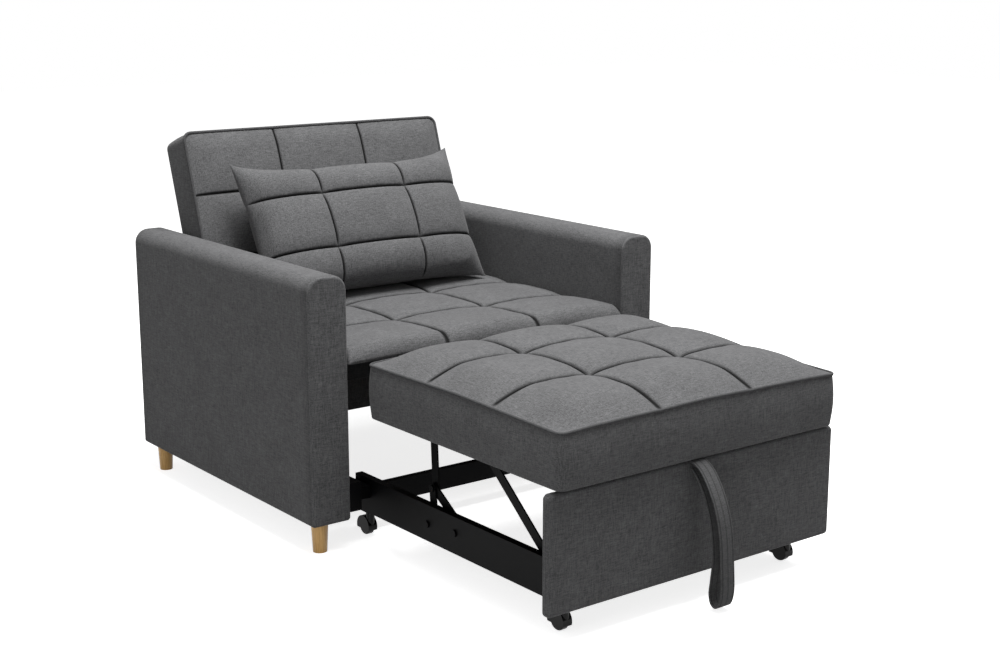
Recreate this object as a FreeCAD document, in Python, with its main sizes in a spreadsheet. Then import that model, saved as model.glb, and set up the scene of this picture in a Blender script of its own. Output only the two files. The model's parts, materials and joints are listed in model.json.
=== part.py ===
import FreeCAD, Part
import math
import os
import re
import Sketcher
from FreeCAD import Placement, Rotation, Vector
from types import SimpleNamespace

# Convertible chair bed: an armchair whose lower front pulls out on casters and carries a
# second cushion, which stands level with the seat and folds down on links.
# Millimetres. X is across the chair, Y runs back from the front faces of the arms, Z is up
# from the floor. front_y moves the whole chair, so that the origin is under its middle.

# Driving dimensions of the chair
chair = dict(
    overall_wide=990, arm_wide=98, arm_deep=845, arm_top=624, arm_round=34, arm_nose=14,
    padding=14, lumber=40, foot_tall=68, foot_top_rad=19.5, foot_tip_rad=16, foot_in=36,
    foot_front=34, foot_back=46, stud_rad=4, stud_up=36, stud_down=30, pin_free=0.05,
    rear_panel_thick=20, rear_panel_low=52, rear_panel_top=326,
    soft_gap=0.6, seat_low=424, seat_front=-6, seat_edge_up=24,
    seat_groove_up=33, seat_crown_up=48, seat_roll=30,
    seat_rail_thick=12, seat_rail_tall=70, seat_cross_y=120,
    slat_thick=14, slat_wide=70, seat_slats=4,
    guide_thick=29, guide_low=86, guide_tall=66, guide_front=2, guide_rear_room=23,
    hinge_before_end=160, seat_before_hinge=63, rail_before_hinge=45, hinge_below_seat=24,
)
# Driving dimensions of the backrest and its loose pillow
back = dict(
    back_room=13.5, back_thick=108, back_lean=17.8, back_face=54.3, back_tail=12, back_long=472,
    back_pad=62, back_pad_groove=4, back_pad_crown=14, back_wall=14, upright_wide=40,
    back_corner=12, back_slats=3, back_slat_wide=60, back_slat_thick=16,
    hinge_pin_rad=6, hinge_pin_in=22, hinge_plate=3,
    hinge_plate_wide=60, hinge_plate_tall=80, hinge_gap=0.5, hinge_bar_half=15,
    hinge_bar_long=150,
    pillow_wide=650, pillow_tall=372, pillow_half=84, pillow_edge=9, pillow_lean=27,
    pillow_x=6, pillow_before_hinge=177.2, pillow_over_seat=57.9, pillow_draw=16,
)
# Driving dimensions of the part that pulls out
pull = dict(
    board_thick=18, board_low=62, board_tall=82, board_back=86,
    panel_room=2.5, panel_thick=22, panel_low=60, panel_top=306, panel_front=-688,
    rail_thick=18, rail_tall=50, slide_gap=0.3, glide_thick=37.7, glide_long=60, glide_low=100,
    glide_tall=30, cushion_room=21, cushion_over_panel=18, cushion_back=-46, cushion_low=312,
    cushion_edge_up=116, cushion_groove_up=138, cushion_crown_up=154, cushion_round=10,
    cushion_corner=18, cushion_bow=4, base_thick=15, base_in=24,
    bar_thick=4, bar_half=11, bolt_rad=4, bolt_head_rad=8, bolt_head=4, bar_gap=0.3,
    knee_y=-193, knee_up=176, knee_lean=3, link_long=122, post_long=76, post_lean=4,
    brace_before_knee=105, brace_up=108, stay_behind_panel=76, stay_up=112, stay_rise=39.8,
    hanger_wide=50, hanger_flange=40,
    wheel_rad=21, wheel_wide=16, wheel_round=3, caster_trail=14,
    caster_behind_panel=48, caster_before_end=34, caster_in=16, axle_rad=3, swivel_rad=5, swivel_long=12,
    caster_plate=2.5, caster_plate_half=16, hood_wall=2.5, hood_gap=1.2, hood_low=14,
)
strap = dict(strap_wide=38, strap_thick=4, strap_x=4, strap_low=8, strap_out=84, strap_sewn=14)

S = SimpleNamespace(**chair, **back, **pull, **strap)

# Widths that follow the space between the arms
S.inner_half = S.overall_wide / 2 - S.arm_wide
S.back_wide = 2 * (S.inner_half - S.back_room)
S.board_out = S.inner_half - S.guide_thick - S.slide_gap - S.glide_thick
S.board_in = S.board_out - S.board_thick
S.caster_x = S.board_out - S.caster_in
S.panel_wide = 2 * (S.inner_half - S.panel_room)
S.cushion_wide = 2 * (S.inner_half - S.cushion_room)
# Depths that follow the arms, the hinge, the panel and the links
S.guide_long = S.arm_deep - S.rear_panel_thick - S.guide_rear_room - S.guide_front
S.hinge_y = S.arm_deep - S.hinge_before_end
S.hinge_up = S.seat_low - S.hinge_below_seat
S.seat_back = S.hinge_y - S.seat_before_hinge
S.seat_rail_back = S.hinge_y - S.rail_before_hinge
S.pillow_foot_y = S.hinge_y - S.pillow_before_hinge
S.pillow_foot_up = S.seat_low + S.pillow_over_seat
S.cushion_front = S.panel_front - S.cushion_over_panel
S.caster_front_y = S.panel_front + S.caster_behind_panel
S.caster_rear_y = S.board_back - S.caster_before_end
S.stay_y = S.panel_front + S.stay_behind_panel
S.brace_y = S.knee_y - S.brace_before_knee


# Works out how far the backrest reaches back, in the chair's own Y
def on_back(along, up):
    lean = math.radians(S.back_lean)
    y = S.hinge_y + along * math.sin(lean) - up * math.cos(lean)
    z = S.hinge_up + along * math.cos(lean) + up * math.sin(lean)
    return y, z


rearmost = on_back(S.back_long, S.back_face - S.back_thick)[0]
foremost = S.panel_front - S.strap_out
lean = math.radians(S.knee_lean)
derived = dict(
    front_y=-(rearmost + foremost) / 2,
    half_wide=S.overall_wide / 2,
    hanger_y=S.knee_y + S.link_long * math.sin(lean),
    hanger_up=S.knee_up + S.link_long * math.cos(lean),
)
derived["hinge_bar"] = S.back_room - S.hinge_plate - S.hinge_gap
stay_tip_up = S.cushion_low - S.bar_half - S.bar_gap
derived["stay_long"] = (stay_tip_up - S.stay_up) / math.sin(math.radians(S.stay_rise))
derived["brace_long"] = math.hypot(S.knee_y - S.brace_y, S.knee_up - S.brace_up)
D = SimpleNamespace(**derived)
brace_rise = math.degrees(math.atan2(S.knee_up - S.brace_up, S.knee_y - S.brace_y))

doc = FreeCAD.newDocument("chair_bed")
sheet = doc.addObject("Spreadsheet::Sheet", "Sizes")
for row, (word, number) in enumerate({**vars(S), **derived}.items(), start=1):
    sheet.set(f"A{row}", word)
    sheet.set(f"B{row}", str(number))
    sheet.setAlias(f"B{row}", word)
doc.recompute()

nodes = []


def keep(thing, name):
    thing.Label = name
    nodes.append(thing)
    return thing


# Binds a property to a formula of the sheet's words
def bind(thing, prop, formula):
    thing.setExpression(prop, re.sub(r"[a-z][a-z_]*", lambda word: "Sizes." + word[0], formula))


# A block between two faces along each axis, each face a formula of the sheet's words
def block(x, y, z):
    box = doc.addObject("Part::Box", "block")
    faces = (("Length", "x", x), ("Width", "y", y), ("Height", "z", z))
    for side, axis, (low, high) in faces:
        bind(box, side, f"({high}) - ({low})")
        offset = "front_y + " if axis == "y" else ""
        bind(box, f"Placement.Base.{axis}", f"{offset}({low})")
    return box


# The two faces along X of something that lies from inner to outer on one side of the chair
def across(side, inner, outer):
    return (inner, outer) if side > 0 else (f"-({outer})", f"-({inner})")


# A round bar along X or Z, by the formulas of its ends
def rod(radius, x, y, z):
    bar = doc.addObject("Part::Cylinder", "rod")
    bind(bar, "Radius", radius)
    along_x = isinstance(x, tuple)
    low, high = x if along_x else z
    bind(bar, "Height", f"({high}) - ({low})")
    if along_x:
        bar.Placement.Rotation = Rotation(Vector(0, 1, 0), 90)
    bind(bar, "Placement.Base.x", low if along_x else x)
    bind(bar, "Placement.Base.y", f"front_y + ({y})")
    bind(bar, "Placement.Base.z", z if along_x else low)
    return bar


def together(*things):
    group = doc.addObject("Part::Compound", "group")
    group.Links = list(things)
    return group


def cut(base, *tools):
    result = doc.addObject("Part::Cut", "cut")
    result.Base = base
    result.Tool = together(*tools)
    return result


def feature(shape, name, place=None):
    part = doc.addObject("Part::Feature", name)
    part.Shape = shape
    if place is not None:
        part.Placement = place
    return keep(part, name)


sides = (("left", -1), ("right", 1))


# An arc through three points, or a line where they are in line
def arc(a, b, c):
    straight = (b - a).cross(c - b).Length < 1e-6
    return Part.makeLine(a, c) if straight else Part.Arc(a, b, c).toShape()


def line(a, b):
    return Part.makeLine(a, b)


# A row of puffed cells along u: each cell arches between its seams
def scallop(low, high, cells, edge, groove, crown):
    step = (high - low) / cells
    arches = []
    for i in range(cells):
        start = edge if i == 0 else groove
        end = edge if i == cells - 1 else groove
        left = low + i * step
        arches.append(((left, start), (left + step / 2, crown), (left + step, end)))
    return arches


# A face with the puffed row on top, closed down to the base, in the plane that spot() gives
def crowned_face(arches, base, spot):
    edges = [arc(*(spot(u, v) for u, v in arch)) for arch in arches]
    (left, left_top), (right, right_top) = arches[0][0], arches[-1][2]
    edges.append(line(spot(right, right_top), spot(right, base)))
    edges.append(line(spot(right, base), spot(left, base)))
    edges.append(line(spot(left, base), spot(left, left_top)))
    return Part.Face(Part.Wire(edges))


# A rectangle seen from above, with round corners and sides that bow out or are drawn in
def plan(wide, low, high, corner, bow):
    half = wide / 2
    slant = corner * (1 - math.sqrt(0.5))
    mid = (low + high) / 2
    spots = [
        (half, high - corner), (half - slant, high - slant), (half - corner, high),
        (0, high + bow), (corner - half, high), (slant - half, high - slant),
        (-half, high - corner), (-half - bow, mid), (-half, low + corner),
        (slant - half, low + slant), (corner - half, low), (0, low - bow),
        (half - corner, low), (half - slant, low + slant), (half, low + corner),
        (half + bow, mid), (half, high - corner),
    ]
    spots = [Vector(x, y, 0) for x, y in spots]
    return Part.Wire([arc(*spots[i:i + 3]) for i in range(0, len(spots) - 2, 2)])


# A cushion sewn into puffed cells: the cells across, the cells along and the outline, in common
def tufted(wide, low, high, base, levels, cells, corner, bow):
    edge, groove, crown = levels
    reach = abs(bow) + 1
    rows = crowned_face(scallop(low - 1, high + 1, cells[1], edge, groove, crown), base,
                        lambda u, v: Vector(-wide / 2 - reach, u, v))
    columns = crowned_face(scallop(-wide / 2 - 1, wide / 2 + 1, cells[0], edge, groove, crown),
                           base, lambda u, v: Vector(u, low - reach, v))
    outline = Part.Face(plan(wide - 2 * max(bow, 0), low + max(bow, 0), high - max(bow, 0),
                             corner, bow))
    outline.translate(Vector(0, 0, base - 1))
    puffs = rows.extrude(Vector(wide + 2 * reach, 0, 0))
    puffs = puffs.common(columns.extrude(Vector(0, high - low + 2 * reach, 0)))
    return puffs.common(outline.extrude(Vector(0, 0, crown - base + 2))).removeSplitter()


def solid_of(shape):
    return shape.Solids[0] if len(shape.Solids) == 1 else shape


# The arms: padded covers over a lumber frame
def arm(side, name):
    shift = side * (D.half_wide - S.arm_wide / 2)
    half = S.arm_wide / 2
    top, low, round_, nose = S.arm_top, S.foot_tall, S.arm_round, S.arm_nose
    bend = round_ * (1 - math.sqrt(0.5))
    dip = nose * (1 - math.sqrt(0.5))
    end = [Vector(x, 0, z) for x, z in (
        (-half, low), (-half, top - round_), (bend - half, top - bend), (round_ - half, top),
        (half - round_, top), (half - bend, top - bend), (half, top - round_), (half, low))]
    face = Part.Face(Part.Wire([
        line(end[0], end[1]), arc(*end[1:4]), line(end[3], end[4]), arc(*end[4:7]),
        line(end[6], end[7]), line(end[7], end[0])]))
    bar = face.extrude(Vector(0, S.arm_deep, 0))
    deep = S.arm_deep
    edge = [Vector(-half, y, z) for y, z in (
        (0, low), (0, top - nose), (dip, top - dip), (nose, top), (deep - nose, top),
        (deep - dip, top - dip), (deep, top - nose), (deep, low))]
    profile = Part.Face(Part.Wire([
        line(edge[0], edge[1]), arc(*edge[1:4]), line(edge[3], edge[4]), arc(*edge[4:7]),
        line(edge[6], edge[7]), line(edge[7], edge[0])]))
    cover = bar.common(profile.extrude(Vector(S.arm_wide, 0, 0)))
    hollow = Part.makeBox(S.arm_wide - 2 * S.padding, deep - 2 * S.padding,
                          top - low - 2 * S.padding + 1,
                          Vector(S.padding - half, S.padding, low - 1))
    cover = cover.cut(hollow)
    cover.translate(Vector(shift, D.front_y, 0))
    feature(solid_of(cover), f"arm_cover_{name}")

    wide = across(side, "inner_half + padding", "half_wide - padding")
    front, rear = "padding", "arm_deep - padding"
    top_face = "arm_top - 2 * padding"
    holes = [rod("stud_rad + pin_free", f"{'-' if side < 0 else ''}(half_wide - foot_in)", y,
                 ("foot_tall - 1", "foot_tall + lumber + 1")) for y in foot_spots.values()]
    bottom = cut(block(wide, (front, rear), ("foot_tall", "foot_tall + lumber")), *holes)
    upper = block(wide, (front, rear), (f"{top_face} - lumber", top_face))
    tall = ("foot_tall + lumber", f"{top_face} - lumber")
    posts = [block(wide, place, tall) for place in (
        (front, "padding + lumber"), ("(arm_deep - lumber) / 2", "(arm_deep + lumber) / 2"),
        ("arm_deep - padding - lumber", rear))]
    keep(together(bottom, upper, *posts), f"arm_frame_{name}")


# Round tapered feet, each on a stud that stands up into the arm's frame
foot_spots = {"front": "foot_front", "rear": "arm_deep - foot_back"}


def feet():
    studs = []
    for name, side in sides:
        x = f"{'-' if side < 0 else ''}(half_wide - foot_in)"
        for end, y in foot_spots.items():
            cone = doc.addObject("Part::Cone", "foot")
            bind(cone, "Radius1", "foot_tip_rad")
            bind(cone, "Radius2", "foot_top_rad")
            bind(cone, "Height", "foot_tall")
            bind(cone, "Placement.Base.x", x)
            bind(cone, "Placement.Base.y", f"front_y + ({y})")
            hole = rod("stud_rad + pin_free", x, y, ("foot_tall - stud_down", "foot_tall + 1"))
            keep(cut(cone, hole), f"foot_{end}_{name}")
            studs.append(rod("stud_rad", x, y, ("foot_tall - stud_down", "foot_tall + stud_up")))
    keep(together(*studs), "foot_studs")


# The fixed frame between the arms, and the seat on it
def seat():
    keep(block(("-inner_half", "inner_half"), ("arm_deep - rear_panel_thick", "arm_deep"),
               ("rear_panel_low", "rear_panel_top")), "rear_panel")
    rail_z = ("seat_low - seat_rail_tall", "seat_low")
    for name, side in sides:
        keep(block(across(side, "inner_half - seat_rail_thick", "inner_half"),
                   ("seat_cross_y", "seat_rail_back"), rail_z), f"seat_rail_{name}")
        keep(block(across(side, "inner_half - guide_thick", "inner_half"),
                   ("guide_front", "guide_front + guide_long"),
                   ("guide_low", "guide_low + guide_tall")), f"guide_rail_{name}")
    between = ("seat_rail_thick - inner_half", "inner_half - seat_rail_thick")
    keep(block(between, ("seat_cross_y", "seat_cross_y + board_thick"), rail_z), "seat_front_rail")
    keep(block(between, ("seat_back - board_thick", "seat_back"), rail_z), "seat_rear_rail")
    slat_z = ("seat_low - slat_thick", "seat_low")
    first = "seat_cross_y + board_thick"
    pitch = f"(seat_back - board_thick - ({first})) / seat_slats"
    slats = []
    for i in range(S.seat_slats):
        middle = f"{first} + ({pitch}) * {i + 0.5}"
        slats.append(block(between, (f"{middle} - slat_wide / 2", f"{middle} + slat_wide / 2"),
                           slat_z))
    keep(together(*slats), "seat_slats")

    low = S.seat_low + S.soft_gap / 2
    wide = 2 * (S.inner_half - S.soft_gap)
    levels = (low + S.seat_edge_up, low + S.seat_groove_up, low + S.seat_crown_up)
    pad = tufted(wide, S.seat_front, S.seat_back, low, levels, (3, 3), 6, 0)
    # the front rolls over: a quarter round under the edge of the first cells
    roll = S.seat_roll
    nose = [Vector(-wide / 2 - 1, y, z) for y, z in (
        (S.seat_front - 1, low - 1), (S.seat_front + roll / 2, low - 1),
        (S.seat_front + roll / 2, low), (S.seat_front + roll * 0.15, low + roll * 0.2),
        (S.seat_front, low + roll / 2), (S.seat_front - 1, low + roll / 2))]
    away = Part.Face(Part.Wire([line(nose[0], nose[1]), line(nose[1], nose[2]), arc(*nose[2:5]),
                                line(nose[4], nose[5]), line(nose[5], nose[0])]))
    pad = pad.cut(away.extrude(Vector(wide + 2, 0, 0)))
    feature(solid_of(pad), "seat_cushion", Placement(Vector(0, D.front_y, 0), Rotation()))


# The backrest, drawn lying flat about its hinge pin and then stood up to its lean
def backrest():
    stand = Placement(Vector(0, D.front_y + S.hinge_y, S.hinge_up),
                      Rotation(Vector(1, 0, 0), 90 - S.back_lean))
    half, tail, face = S.back_wide / 2, -S.back_tail, S.back_face
    rear, seam = face - S.back_thick, face - S.back_pad
    wall, deep = S.back_wall, S.back_thick - S.back_pad
    levels = (face, face + S.back_pad_groove, face + S.back_pad_crown)
    pad = tufted(S.back_wide, tail, S.back_long, seam, levels, (3, 3), S.back_corner, 0)
    shell = Part.makeBox(S.back_wide, S.back_long - tail, deep, Vector(-half, tail, rear))
    pocket = Part.makeBox(S.back_wide - 2 * wall, S.back_long - tail - 2 * wall, deep - wall,
                          Vector(wall - half, tail + wall, rear + wall))
    reach = S.hinge_pin_in + 1
    bore = [Part.makeCylinder(S.hinge_pin_rad + S.pin_free, reach, Vector(x, 0, 0),
                              Vector(1, 0, 0)) for x in (-half - 1, half - S.hinge_pin_in)]
    feature(solid_of(pad.cut(bore[0]).cut(bore[1])), "backrest_cushion", stand)
    feature(solid_of(shell.cut(pocket).cut(bore[0]).cut(bore[1])), "backrest_shell", stand)

    long_in = S.back_long - tail - 2 * wall
    thick = deep - wall
    uprights = []
    for side in (-1, 1):
        x = side * (half - wall - S.upright_wide / 2) - S.upright_wide / 2
        upright = Part.makeBox(S.upright_wide, long_in, thick,
                               Vector(x, tail + wall, rear + wall))
        uprights.append(upright.cut(bore[0]).cut(bore[1]))
    feature(Part.makeCompound(uprights), "backrest_uprights", stand)
    inside = S.back_wide - 2 * wall - 2 * S.upright_wide
    pitch = long_in / S.back_slats
    slats = [Part.makeBox(inside, S.back_slat_wide, S.back_slat_thick,
                          Vector(-inside / 2, tail + wall + (i + 0.5) * pitch
                                 - S.back_slat_wide / 2, seam - S.back_slat_thick))
             for i in range(S.back_slats)]
    feature(Part.makeCompound(slats), "backrest_slats", stand)


# The reclining hinges: a plate on each arm, a pin and a bar on the backrest's edge
def recline_hinges():
    pins = []
    for name, side in sides:
        hole = rod("hinge_pin_rad + pin_free", across(side, "inner_half - 2 * hinge_plate",
                                                      "inner_half + 1"), "hinge_y", "hinge_up")
        plate = block(across(side, "inner_half - hinge_plate", "inner_half"),
                      ("hinge_y - hinge_plate_wide / 2", "hinge_y + hinge_plate_wide / 2"),
                      ("hinge_up - hinge_plate_tall / 2", "hinge_up + hinge_plate_tall / 2"))
        keep(cut(plate, hole), f"recline_plate_{name}")
        pins.append(rod("hinge_pin_rad", across(side, "back_wide / 2 - hinge_pin_in + 1",
                                                "inner_half"), "hinge_y", "hinge_up"))
        start = side * S.back_wide / 2
        low = start if side > 0 else start - D.hinge_bar
        bar = Part.makeCylinder(S.hinge_bar_half, D.hinge_bar, Vector(low, 0, 0), Vector(1, 0, 0))
        bar = bar.fuse(Part.makeBox(D.hinge_bar, S.hinge_bar_long, 2 * S.hinge_bar_half,
                                    Vector(low, 0, -S.hinge_bar_half))).removeSplitter()
        bar = bar.cut(Part.makeCylinder(S.hinge_pin_rad + S.pin_free, D.hinge_bar + 2,
                                        Vector(low - 1, 0, 0), Vector(1, 0, 0)))
        feature(solid_of(bar), f"recline_bar_{name}",
                Placement(Vector(0, D.front_y + S.hinge_y, S.hinge_up),
                          Rotation(Vector(1, 0, 0), 90 - S.back_lean)))
    keep(together(*pins), "recline_pins")


# The loose pillow: puffed on both faces, thin at its edge, with pointed corners
def pillow():
    wide, tall, half, edge = S.pillow_wide, S.pillow_tall, S.pillow_half, S.pillow_edge
    groove = half * 0.86

    def lens(low, high, spot):
        top = scallop(low, high, 3, edge, groove, half)
        edges = [arc(*(spot(u, v) for u, v in arch)) for arch in top]
        edges.append(line(spot(high, edge), spot(high, -edge)))
        edges += [arc(*(spot(u, -v) for u, v in reversed(arch))) for arch in reversed(top)]
        edges.append(line(spot(low, -edge), spot(low, edge)))
        return Part.Face(Part.Wire(edges))

    columns = lens(-wide / 2, wide / 2, lambda u, v: Vector(u, -1, v))
    rows = lens(0, tall, lambda u, v: Vector(-wide / 2 - 1, u, v))
    form = columns.extrude(Vector(0, tall + 2, 0)).common(rows.extrude(Vector(wide + 2, 0, 0)))
    outline = Part.Face(plan(wide, 0, tall, 8, -S.pillow_draw))
    outline.translate(Vector(0, 0, -half - 1))
    form = form.common(outline.extrude(Vector(0, 0, 2 * half + 2)))
    feature(solid_of(form), "lumbar_pillow",
            Placement(Vector(S.pillow_x, D.front_y + S.pillow_foot_y, S.pillow_foot_up),
                      Rotation(Vector(1, 0, 0), 90 - S.pillow_lean)))


# A flat steel bar with round ends and a hole at each, as long as a word of the sheet says.
# It starts at a pivot and rises from level by an angle, in a plane across X.
def bar(name, long, x_low, pivot, rise):
    body = doc.addObject("PartDesign::Body", name)
    sketch = body.newObject("Sketcher::SketchObject", f"{name}_outline")
    flat = [plane for plane in body.Origin.OriginFeatures if plane.Role == "XY_Plane"][0]
    sketch.AttachmentSupport = (flat, [""])
    sketch.MapMode = "FlatFace"
    span, half, quarter = getattr(D, long, None) or getattr(S, long), S.bar_half, math.pi / 2
    up = Vector(0, 0, 1)
    sketch.addGeometry([
        Part.LineSegment(Vector(0, half, 0), Vector(span, half, 0)),
        Part.ArcOfCircle(Part.Circle(Vector(span, 0, 0), up, half), -quarter, quarter),
        Part.LineSegment(Vector(span, -half, 0), Vector(0, -half, 0)),
        Part.ArcOfCircle(Part.Circle(Vector(0, 0, 0), up, half), quarter, 3 * quarter),
        Part.Circle(Vector(0, 0, 0), up, S.bolt_rad),
        Part.Circle(Vector(span, 0, 0), up, S.bolt_rad)], False)
    rule = Sketcher.Constraint
    sketch.addConstraint([
        rule("Coincident", 3, 3, -1, 1), rule("PointOnObject", 1, 3, -1),
        rule("Tangent", 0, 1, 3, 1), rule("Tangent", 0, 2, 1, 2),
        rule("Tangent", 2, 1, 1, 1), rule("Tangent", 2, 2, 3, 2),
        rule("Coincident", 4, 3, 3, 3), rule("Coincident", 5, 3, 1, 3), rule("Equal", 4, 5),
        rule("DistanceX", 3, 3, 1, 3, span), rule("Radius", 3, half),
        rule("Radius", 4, S.bolt_rad + S.pin_free)])
    for index, formula in ((9, long), (10, "bar_half"), (11, "bolt_rad + pin_free")):
        bind(sketch, f"Constraints[{index}]", formula)
    pad = body.newObject("PartDesign::Pad", f"{name}_pad")
    pad.Profile = sketch
    bind(pad, "Length", "bar_thick")
    turn = math.radians(rise)
    along = Vector(0, math.cos(turn), math.sin(turn))
    body.Placement = Placement(Vector(x_low, D.front_y + pivot[0], pivot[1]),
                               Rotation(along, Vector(1, 0, 0).cross(along), Vector(1, 0, 0)))
    return keep(body, name)


# Where a layer of thickness t starts along X, counted inwards from the board's inner face
def layer(side, start, thick):
    return side * (S.board_in - start) - (thick if side > 0 else 0)


# A riveted pin along X, with a head at each end and any collars between
def rivet(side, start, end, y, z, collar=None):
    pieces = []
    for radius, low, high in ((S.bolt_rad, start, end), (S.bolt_head_rad, start - S.bolt_head, start),
                              (S.bolt_head_rad, end, end + S.bolt_head), collar or (0, 0, 0)):
        if radius:
            x = side * (S.board_in - low)
            pieces.append(Part.makeCylinder(radius, high - low, Vector(x, D.front_y + y, z),
                                            Vector(-side, 0, 0)))
    return pieces[0].multiFuse(pieces[1:]).removeSplitter()


# The rolling base that pulls out: boards, rails, front panel and the posts of the links
def base():
    back_of_panel = "panel_front + panel_thick"
    for name, side in sides:
        board = block(across(side, "board_in", "board_out"), (back_of_panel, "board_back"),
                      ("board_low", "board_low + board_tall"))
        spots = (("stay_y", "stay_up"), ("brace_y", "brace_up"),
                 (f"knee_y - {math.sin(math.radians(S.post_lean))} * post_long",
                  f"knee_up - {math.cos(math.radians(S.post_lean))} * post_long"))
        holes = [rod("bolt_rad + pin_free", across(side, "board_in - 1", "board_out + 1"), y, z)
                 for y, z in spots]
        keep(cut(board, *holes), f"side_board_{name}")
        keep(block(across(side, "board_out", "board_out + glide_thick"),
                   ("board_back - glide_long", "board_back"),
                   ("glide_low", "glide_low + glide_tall")), f"glide_block_{name}")
    low = ("board_low", "board_low + rail_tall")
    between = ("-board_in", "board_in")
    keep(block(between, ("board_back - rail_thick", "board_back"), low), "rear_crossbar")
    keep(block(between, (back_of_panel, f"{back_of_panel} + rail_thick"), low), "front_rail")
    keep(block(("-panel_wide / 2", "panel_wide / 2"), ("panel_front", back_of_panel),
               ("panel_low", "panel_top")), "front_panel")

    thick, gap, out = S.bar_thick, S.bar_gap, -S.board_thick
    rivets = []
    post = math.radians(S.post_lean)
    foot = (S.knee_y - S.post_long * math.sin(post), S.knee_up - S.post_long * math.cos(post))
    for name, side in sides:
        bar(f"lift_post_{name}", "post_long", layer(side, 0, thick), foot, 90 - S.post_lean)
        bar(f"post_brace_{name}", "brace_long", layer(side, thick, thick),
            (S.brace_y, S.brace_up), brace_rise)
        bar(f"lift_link_{name}", "link_long", layer(side, 2 * thick + gap, thick),
            (S.knee_y, S.knee_up), 90 - S.knee_lean)
        bar(f"stay_{name}", "stay_long", layer(side, gap, thick), (S.stay_y, S.stay_up),
            S.stay_rise)
        rivets.append(rivet(side, 0, 3 * thick + 2 * gap, S.knee_y, S.knee_up))
        rivets.append(rivet(side, out, thick, *foot))
        rivets.append(rivet(side, out, 2 * thick, S.brace_y, S.brace_up,
                            (S.bolt_head_rad, 0, thick)))
        rivets.append(rivet(side, out, thick + 2 * gap, S.stay_y, S.stay_up))
    feature(Part.makeCompound(rivets), "linkage_rivets")


# The cushion that pulls out, its base board and the hangers that the links carry
def pullout():
    low = S.cushion_low
    levels = (low + S.cushion_edge_up, low + S.cushion_groove_up, low + S.cushion_crown_up)
    front, rear = S.cushion_front, S.cushion_back
    pad = tufted(S.cushion_wide, front, rear, low, levels, (3, 3), S.cushion_corner,
                 S.cushion_bow)
    half, inset = S.cushion_wide / 2, S.base_in
    pocket = Part.makeBox(2 * (half - inset), rear - front - 2 * inset, S.base_thick + 1,
                          Vector(inset - half, front + inset, low - 1))
    # the bottom front edge is rounded, so that it passes over the panel
    turn = S.cushion_round
    slant = turn * (1 - math.sqrt(0.5))
    nose = [Vector(-half - 9, y, z) for y, z in (
        (front - 1, low - 1), (front + turn, low - 1), (front + turn, low),
        (front + slant, low + slant), (front, low + turn), (front - 1, low + turn))]
    away = Part.Face(Part.Wire([line(nose[0], nose[1]), line(nose[1], nose[2]), arc(*nose[2:5]),
                                line(nose[4], nose[5]), line(nose[5], nose[0])]))
    pad = pad.cut(pocket).cut(away.extrude(Vector(2 * half + 18, 0, 0)))
    feature(solid_of(pad), "pullout_cushion", Placement(Vector(0, D.front_y, 0), Rotation()))
    keep(block(("base_in - cushion_wide / 2", "cushion_wide / 2 - base_in"),
               ("cushion_front + base_in", "cushion_back - base_in"),
               ("cushion_low", "cushion_low + base_thick")), "pullout_base")
    thick, gap = S.bar_thick, S.bar_gap
    start = 3 * thick + 2 * gap
    pins = []
    for name, side in sides:
        x = layer(side, start, thick)
        y = D.front_y + D.hanger_y - S.hanger_wide / 2
        drop = low - D.hanger_up + S.bar_half
        ear = Part.makeBox(thick, S.hanger_wide, drop, Vector(x, y, low - drop))
        inward = x if side < 0 else x + thick - S.hanger_flange
        flange = Part.makeBox(S.hanger_flange, S.hanger_wide, thick,
                              Vector(inward, y, low - thick))
        hole = Part.makeCylinder(S.bolt_rad + S.pin_free, thick + 2,
                                 Vector(x - 1, D.front_y + D.hanger_y, D.hanger_up),
                                 Vector(1, 0, 0))
        feature(solid_of(ear.fuse(flange).removeSplitter().cut(hole)), f"link_hanger_{name}")
        pins.append(rivet(side, start - thick - gap, start + thick, D.hanger_y, D.hanger_up))
    feature(Part.makeCompound(pins), "hanger_pins")


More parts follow.
